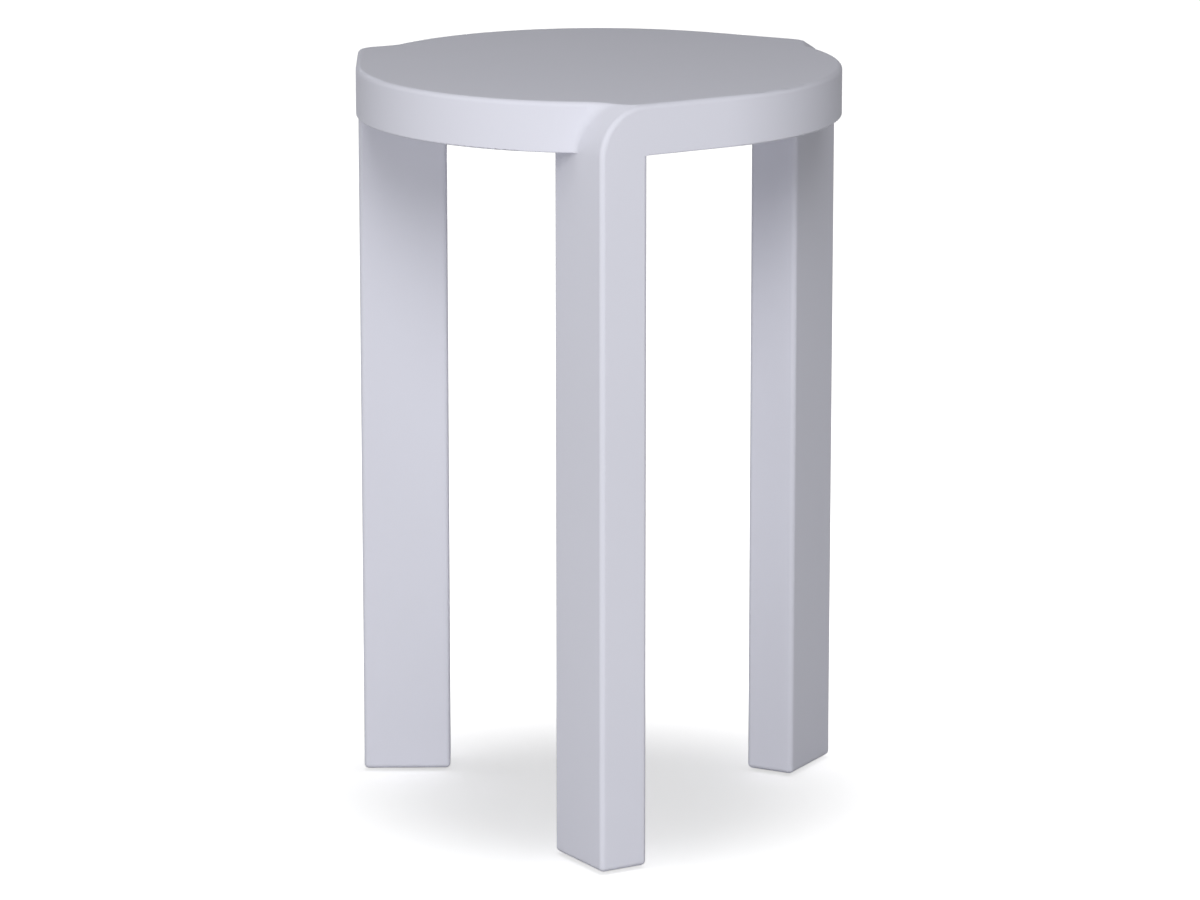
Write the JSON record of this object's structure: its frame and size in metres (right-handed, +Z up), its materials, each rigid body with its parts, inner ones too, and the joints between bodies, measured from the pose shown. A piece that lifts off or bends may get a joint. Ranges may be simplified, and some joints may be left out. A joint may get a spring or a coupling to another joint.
{
  "type": "outdoor side table",
  "caption": "Round outdoor side table with a deep rim and flat legs set round it like a pinwheel, whose wide faces roll over into the top.",
  "frame": {"origin": "on the floor (z = 0, the plane of the glides' undersides), under the middle of the table's bounding box; the axis of the round top is the vertical line through the mount tabletop, at x = -0.5 mm and y = 15.1 mm", "axes": "+Z up; -Y is the front, where leg_1 stands, with leg_2 at the back right (+X) and leg_3 at the back left (-X)"},
  "size_m": [0.391, 0.4202, 0.61],
  "materials": {
    "white_powder_coat": "satin",
    "white_nylon": "matte"
  },
  "bodies": {
    "root": {"top_panel": "white_powder_coat", "rim_band_1": "white_powder_coat", "leg_1": "white_powder_coat", "shoulder_1": "white_powder_coat", "foot_plate_1": "white_powder_coat", "brace_1": "white_powder_coat", "glide_1_outer": "white_nylon", "glide_1_inner": "white_nylon", "rim_band_2": "white_powder_coat", "leg_2": "white_powder_coat", "shoulder_2": "white_powder_coat", "foot_plate_2": "white_powder_coat", "brace_2": "white_powder_coat", "glide_2_outer": "white_nylon", "glide_2_inner": "white_nylon", "rim_band_3": "white_powder_coat", "leg_3": "white_powder_coat", "shoulder_3": "white_powder_coat", "foot_plate_3": "white_powder_coat", "brace_3": "white_powder_coat", "glide_3_outer": "white_nylon", "glide_3_inner": "white_nylon"}
  },
  "joints": []
}
